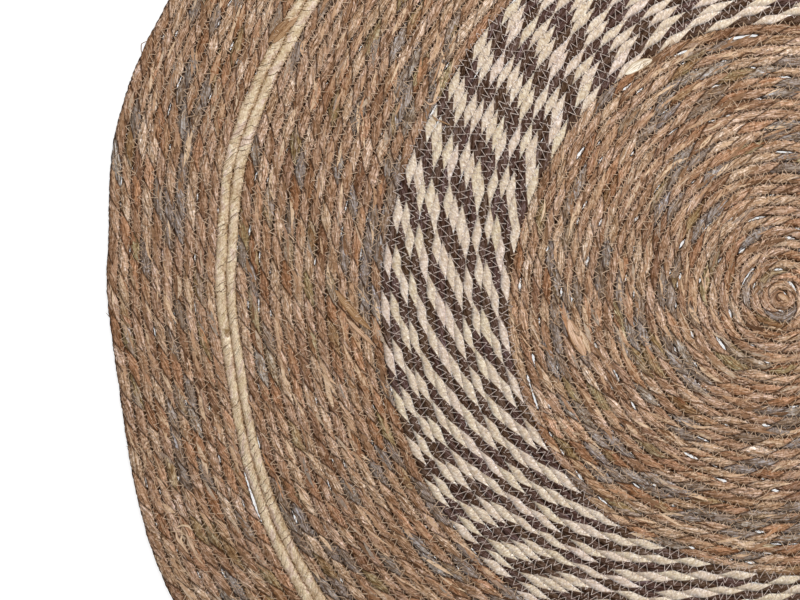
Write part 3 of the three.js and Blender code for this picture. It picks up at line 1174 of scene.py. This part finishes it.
def lay_strips(name, stretches, count, seed, length, width, slant, across, lift, outline):
    """Narrow strips on the rope. length and width are ranges, slant is a mean angle and how much
    it varies, and outline has the widths along a strip, as shares of the widest."""
    chance = np.random.default_rng(seed)
    first = np.array([rope_length(STRETCHES[stretch]["first"]) for stretch in stretches])
    last = np.array([rope_length(STRETCHES[stretch]["last"]) for stretch in stretches])
    parts = (last - first) / (last - first).sum()
    which = chance.choice(len(stretches), count, p=parts)
    metres = first[which] + (last - first)[which] * chance.random(count)
    turns = np.interp(metres, rope_steps, turn_steps)
    degrees = 360 * (turns % 1)
    radius = radius_at(turns, degrees) + across * chance.uniform(-1, 1, count)
    angle = np.radians(degrees)
    # A twisted ply runs inwards as it goes round.
    heading = angle + np.pi / 2 + np.radians(slant[0] + slant[1] * chance.standard_normal(count))
    bend = BEND * chance.standard_normal(count)
    size = chance.uniform(*length, count)
    half = chance.uniform(*width, count) / 2
    x, y = radius * np.cos(angle), radius * np.sin(angle)
    rows = []
    for step, share in enumerate(outline):
        way = step / (len(outline) - 1) - 0.5
        turn = heading + bend * way
        along_x, along_y = x + size * way * np.cos(turn), y + size * way * np.sin(turn)
        for side in (-1, 1):
            px = along_x - side * half * share * np.sin(turn)
            py = along_y + side * half * share * np.cos(turn)
            height = np.maximum(height_below(px, py), LOWEST_LOOSE) + lift
            rows.append(np.stack([px, py, height], axis=-1))
    points = np.stack(rows, axis=1)
    start = np.arange(count)[:, None] * len(rows)
    step = 2 * np.arange(len(outline) - 1)[None, :]
    corners = [start + step, start + step + 2, start + step + 3, start + step + 1]
    strips = new_mesh_object(name, points, corners)
    add_values(strips.data, "tone", "POINT", np.repeat(chance.random(count), len(rows)))
    return strips


print("strips lie at", round(1000 * LOWEST_LOOSE, 1), "mm or higher")

# %% [markdown]
# ## Blades and fibres, scattered
#
# The rope of the ring is smooth, so blades and fibres lie only on the seagrass. All of one kind are
# one mesh, because thousands of objects would be slow to handle. Every strip has its own tone, and
# a ramp turns the tones into leaf colours, a little paler and darker than the rope's.

# %% Scatter blades and fibres
def loose_finish(name, stops):
    """Leaf in one tone for each strip, with a fine grain. A strip is too small for more."""
    nodes = Nodes(name, 0.65)
    colour = nodes.ramp(nodes.value_of("tone"), stops)
    node = nodes.tree.nodes.new("ShaderNodeTexNoise")
    node.inputs["Scale"].default_value = 400
    nodes.join(nodes.position(), node.inputs["Vector"])
    grain = node.outputs["Fac"]
    colour = nodes.shade(colour, nodes.between(grain, 0.75, 1.2))
    return nodes.finish(colour, gloss=0.1, relief=grain, strength=0.4, depth=0.0005)


SEAGRASS_STRETCHES = ["seagrass_centre", "seagrass_middle", "seagrass_rim"]
fibres = lay_strips(
    "loose_fibres", SEAGRASS_STRETCHES, count=15000, seed=71, length=(4 * MM, 13 * MM),
    width=(0.3 * MM, 0.6 * MM), slant=(10, 26), across=4.2 * MM, lift=0.15 * MM,
    outline=(0.6, 1, 0.6))
blades = lay_strips(
    "loose_blades", SEAGRASS_STRETCHES, count=2600, seed=72, length=(14 * MM, 34 * MM),
    width=(1.2 * MM, 4.0 * MM), slant=(13, 8), across=2.5 * MM, lift=0.12 * MM,
    outline=(0.1, 0.8, 1, 0.8, 0.1))
finishes["loose"] = loose_finish("loose leaf", [
    (0.0, 84, 56, 36),
    (0.2, 140, 106, 78),
    (0.45, 190, 152, 120),
    (0.75, 222, 192, 160),
    (0.9, 148, 134, 122),
    (1.0, 190, 140, 102),
])
for strips in (fibres, blades):
    dress(strips, finishes["loose"])
    print(strips.name, 2 * len(strips.data.polygons), "triangles")

# %% [markdown]
# ## Leaves laid one by one
#
# A few places on the real rug catch the eye: a broad pale leaf, a splice where a new leaf was
# worked in, a small tuft, a hair that stands out past the edge, and the end of the cream ply. At
# one place brown leaves cover the outer cord, beside a pale fold. Each leaf is a short list of
# places with a curve through them. Chance would never put them where they are.

# %% List the leaves and fibres that catch the eye
# name, width in mm, tone, places (x, y) in mm from the rug's middle
HAND_LAID = [
    ("pale leaf", 10.5, 0.60,
     [(-188.5, -19.0), (-184.5, -29.0), (-179.5, -40.5), (-173.5, -51.5)]),
    ("pale leaf beside it", 5.0, 0.72,
     [(-179.0, -28.0), (-173.5, -38.0), (-169.5, -49.0)]),
    # a dark strip of painted shadow beside the pale leaf
    ("dark edge beside it", 1.8, 0.05,
     [(-191.0, -27.0), (-187.0, -38.0), (-180.0, -50.0)]),
    ("splice, outer leaf", 7.0, 0.34,
     [(-395.5, 7.5), (-386.0, -5.0), (-376.0, -17.0), (-364.0, -28.0)]),
    ("splice, inner leaf", 5.0, 0.5,
     [(-386.0, -17.0), (-378.0, -25.0), (-370.0, -33.0), (-361.0, -42.0)]),
    # a dark strip of painted shadow beside the splice's outer leaf
    ("splice, dark edge", 1.6, 0.02,
     [(-397.0, -1.0), (-387.0, -12.0), (-377.0, -23.0), (-367.0, -34.0)]),
    ("outer cord's gap, russet", 6.4, 0.25,
     [(-454.4, 226.0), (-448.4, 234.4), (-442.0, 241.6), (-435.4, 247.6)]),
    ("outer cord's gap, brown", 6.2, 0.33,
     [(-450.5, 225.5), (-444.4, 232.2), (-438.6, 238.8), (-431.5, 246.6)]),
    ("outer cord's gap, olive", 4.6, 0.37,
     [(-442.9, 233.6), (-437.3, 240.0), (-432.6, 244.6), (-428.4, 249.0)]),
    ("fold at the cord's end", 1.8, 0.8,
     [(-443.0, 243.4), (-437.6, 245.7), (-432.4, 247.5), (-426.5, 250.6)]),
    ("twig at the ring", 1.7, 0.3,
     [(-310.0, 163.0), (-306.8, 158.4), (-301.5, 156.4), (-293.0, 153.0)]),
    ("bent fibre at the ring", 1.8, 0.5,
     [(-316.5, 175.6), (-312.2, 171.3), (-308.0, 172.1), (-300.6, 178.6)]),
    ("tuft, loop", 2.0, 0.74,
     [(-536.4, -204.0), (-531.2, -201.1), (-525.2, -201.8), (-521.6, -206.2)]),
    ("tuft, left strand", 2.6, 0.62,
     [(-536.4, -204.8), (-535.2, -213.1), (-529.7, -219.5), (-525.2, -226.5)]),
    ("tuft, middle strand", 1.7, 0.72,
     [(-531.5, -203.0), (-530.6, -209.5), (-531.9, -214.0), (-529.0, -220.0)]),
    ("tuft, right strand", 3.0, 0.58,
     [(-527.7, -205.8), (-524.8, -213.6), (-520.4, -222.5), (-518.6, -229.0)]),
    ("tuft, cross strand", 1.4, 0.76,
     [(-541.5, -207.0), (-533.0, -206.4), (-526.5, -211.0), (-521.5, -212.0)]),
    ("tuft, shadow", 1.8, 0.0,
     [(-528.2, -209.5), (-527.6, -214.5), (-526.9, -219.5)]),
    ("hair past the edge", 0.9, 0.16,
     [(-560.0, 228.5), (-567.0, 225.3), (-567.2, 219.5), (-566.0, 215.5)]),
    ("leaf over the middle", 6.0, 0.4,
     [(-3.0, 3.0), (2.5, 0.5), (6.0, -3.5)]),
]
PALE_LAID = [
    ("end of the cream ply", 9.0, 0.7,
     [(-138.5, 198.0), (-130.0, 204.0), (-122.5, 208.0), (-114.5, 211.0)]),
]
print("leaves laid by hand:", len(HAND_LAID) + len(PALE_LAID))

# %% [markdown]
# ## A leaf along a curve
#
# A leaf is widest in the middle, pointed at both ends, and has a low ridge along it. It is made as
# three rows of points along the curve, and every point lies a little above the rope. A plain flat
# strip would sink into the rounded plies.

# %% Lay them on the rope
LOWEST_LAID = 5.4 * MM
LAID_LIFT = 0.35 * MM
RIDGE_LIFT = 1.4
# leaves of one tone get slightly different ones, so that their veins differ
TONE_STEP = 0.004
# the width of a leaf at its tips, as a share of its middle, and how soon it is at its full width
TIP_WIDTH = 0.1
FULL_SOON = 0.6


def bent_strips(name, laid, finish):
    """Leaves along listed curves, each widest in the middle and lying on the rope."""
    points, faces, tones, runs, sides = [], [], [], [], []
    for row, (_, width, tone, places) in enumerate(laid):
        knots = np.linspace(0, 1, len(places))
        steps = np.linspace(0, 1, 4 * len(places))
        x, y = (MM * np.interp(steps, knots, [place[axis] for place in places]) for axis in (0, 1))
        x[1:-1] = (x[:-2] + 2 * x[1:-1] + x[2:]) / 4
        y[1:-1] = (y[:-2] + 2 * y[1:-1] + y[2:]) / 4
        heading = np.arctan2(np.gradient(y), np.gradient(x))
        swelling = np.sin(np.pi * steps) ** FULL_SOON
        half = MM * width / 2 * (TIP_WIDTH + (1 - TIP_WIDTH) * swelling)
        first = len(points)
        for across in (-1, 0, 1):
            px, py = x - across * half * np.sin(heading), y + across * half * np.cos(heading)
            lift = LAID_LIFT * (RIDGE_LIFT if across == 0 else 1)
            height = np.maximum(height_below(px, py), LOWEST_LAID) + lift
            points += list(np.stack([px, py, height], axis=-1))
        count = len(steps)
        for step in range(count - 1):
            for lane in (0, count):
                a = first + lane + step
                faces.append((a, a + 1, a + 1 + count, a + count))
        tones += [tone + TONE_STEP * row] * (3 * count)
        run = np.hypot(np.diff(x, prepend=x[0]), np.diff(y, prepend=y[0])).cumsum()
        runs += list(run) * 3
        sides += list(np.repeat((-1.0, 0.0, 1.0), count))
    strips = new_mesh_object(name, np.array(points), np.transpose(faces))
    add_values(strips.data, "tone", "POINT", np.clip(tones, 0, 1))
    add_values(strips.data, "run", "POINT", runs)
    add_values(strips.data, "side", "POINT", sides)
    dress(strips, finish)
    return strips


def streaked_finish(name, stops):
    """Leaf with veins along it and darker edges, for leaves large enough to show them."""
    nodes = Nodes(name, 0.65)
    run, side, tone = nodes.value_of("run"), nodes.value_of("side"), nodes.value_of("tone")
    veins = nodes.noise((run, 60), (side, 5), tone, 2)
    fine = nodes.noise((run, 140), (side, 13), tone, 1)
    colour = nodes.ramp(tone, stops)
    colour = nodes.shade(colour, nodes.spread(veins, 0.32, 0.68, 0.5, 1.35))
    colour = nodes.shade(colour, nodes.spread(fine, 0.35, 0.65, 0.7, 1.3))
    edge = nodes.math("ABSOLUTE", side)
    colour = nodes.shade(colour, nodes.spread(edge, 0.7, 1.0, 1.0, 0.45))
    return nodes.finish(colour, gloss=0.1, relief=veins, strength=0.6, depth=0.0008)


LEAF_STOPS = [
    (0.0, 70, 44, 26),
    (0.2, 134, 100, 72),
    (0.35, 164, 128, 92),
    (0.6, 206, 170, 140),
    (0.8, 224, 194, 160),
    (1.0, 190, 140, 102),
]
CREAM_STOPS = [(0.0, 206, 182, 150), (1.0, 238, 226, 206)]
finishes["laid"] = streaked_finish("leaf with veins", LEAF_STOPS)
finishes["pale_laid"] = streaked_finish("loose cream leaf", CREAM_STOPS)
hand_laid = bent_strips("hand_laid_leaves", HAND_LAID, finishes["laid"])
pale_laid = bent_strips("end_of_cream_ply", PALE_LAID, finishes["pale_laid"])
for strips in (hand_laid, pale_laid):
    print(strips.name, 2 * len(strips.data.polygons), "triangles")

# %% [markdown]
# ## All the pieces
#
# The rug is cloth. Its pieces are gathered here, and their triangles counted.


pieces = list(ropes.values()) + threads + [fibres, blades, hand_laid, pale_laid]
total = sum(len(face.vertices) - 2 for piece in pieces for face in piece.data.polygons)
print("triangles in all:", total)
